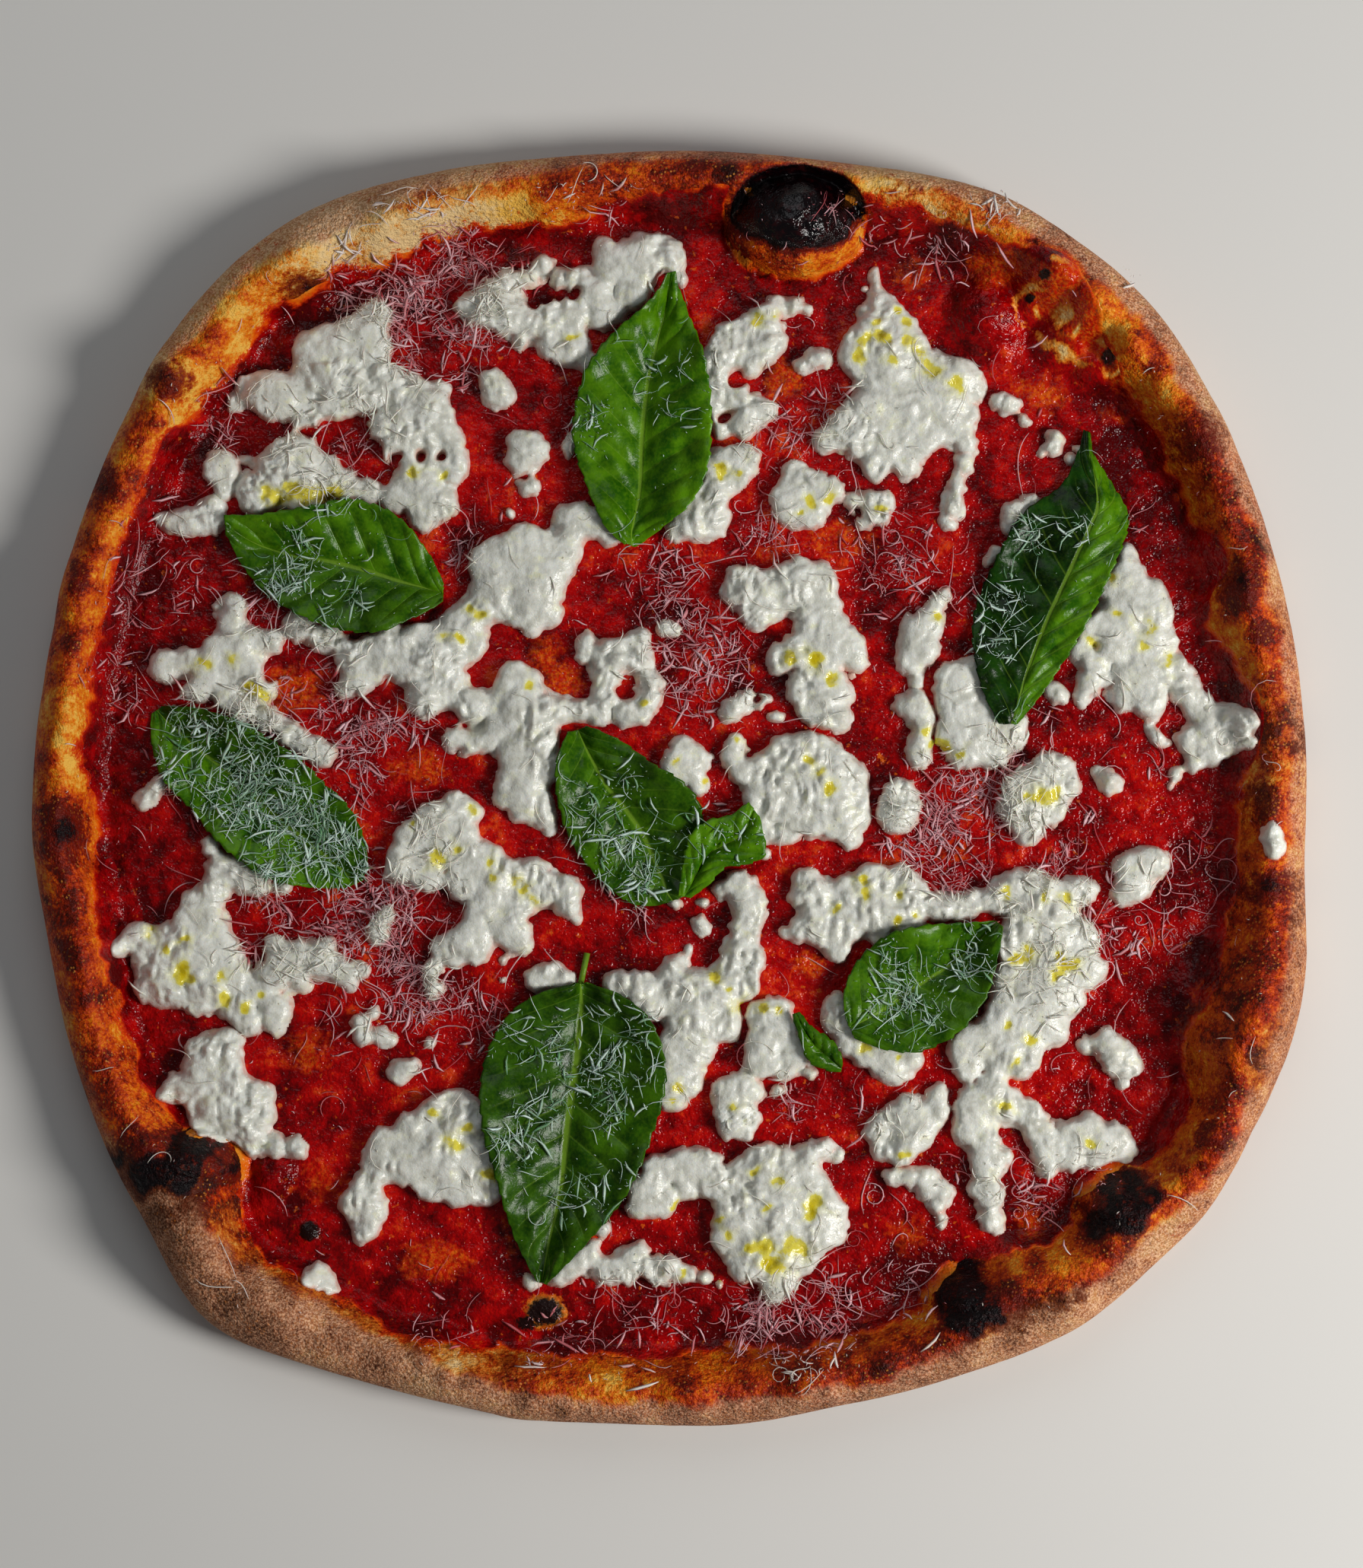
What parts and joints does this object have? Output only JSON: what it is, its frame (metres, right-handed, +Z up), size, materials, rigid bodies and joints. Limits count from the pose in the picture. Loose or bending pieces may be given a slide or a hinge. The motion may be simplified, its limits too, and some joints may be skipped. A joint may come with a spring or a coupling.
{
  "type": "burrata pizza",
  "caption": "Whole round pizza with a puffed charred rim, tomato sauce, torn burrata, basil leaves and grated hard cheese, for a table or counter.",
  "frame": {"origin": "middle of the flat underside", "axes": "+Z up from the table, -Y towards the eater"},
  "size_m": [0.3343, 0.3345, 0.0284],
  "materials": {
    "crust": "baked wheat dough, golden with cream and charred spots",
    "sauce": "wet tomato sauce",
    "burrata": "moist fresh cheese with olive oil",
    "basil": "fresh oiled leaf"
  },
  "bodies": {
    "root": {"basil_1": "basil", "basil_2": "basil", "basil_3": "basil", "basil_4": "basil", "basil_5": "basil", "basil_6": "basil", "basil_7": "basil", "basil_8": "basil", "basil_9": "basil", "burrata_01": "burrata", "burrata_02": "burrata", "burrata_03": "burrata", "burrata_04": "burrata", "burrata_05": "burrata", "burrata_06": "burrata", "burrata_07": "burrata", "burrata_08": "burrata", "burrata_09": "burrata", "burrata_10": "burrata", "burrata_11": "burrata", "burrata_12": "burrata", "burrata_13": "burrata", "burrata_14": "burrata", "burrata_15": "burrata", "burrata_16": "burrata", "burrata_17": "burrata", "burrata_18": "burrata", "burrata_19": "burrata", "burrata_20": "burrata", "burrata_21": "burrata", "burrata_22": "burrata", "burrata_23": "burrata", "burrata_24": "burrata", "burrata_25": "burrata", "burrata_26": "burrata", "burrata_27": "burrata", "burrata_28": "burrata", "burrata_29": "burrata", "burrata_30": "burrata", "burrata_31": "burrata", "burrata_32": "burrata", "burrata_33": "burrata", "burrata_34": "burrata", "burrata_35": "burrata", "burrata_36": "burrata", "burrata_37": "burrata", "burrata_38": "burrata", "burrata_39": "burrata", "burrata_40": "burrata", "burrata_41": "burrata", "burrata_42": "burrata", "burrata_43": "burrata", "burrata_44": "burrata", "burrata_45": "burrata", "burrata_46": "burrata", "burrata_47": "burrata", "crust": "crust", "sauce": "sauce"}
  },
  "joints": []
}
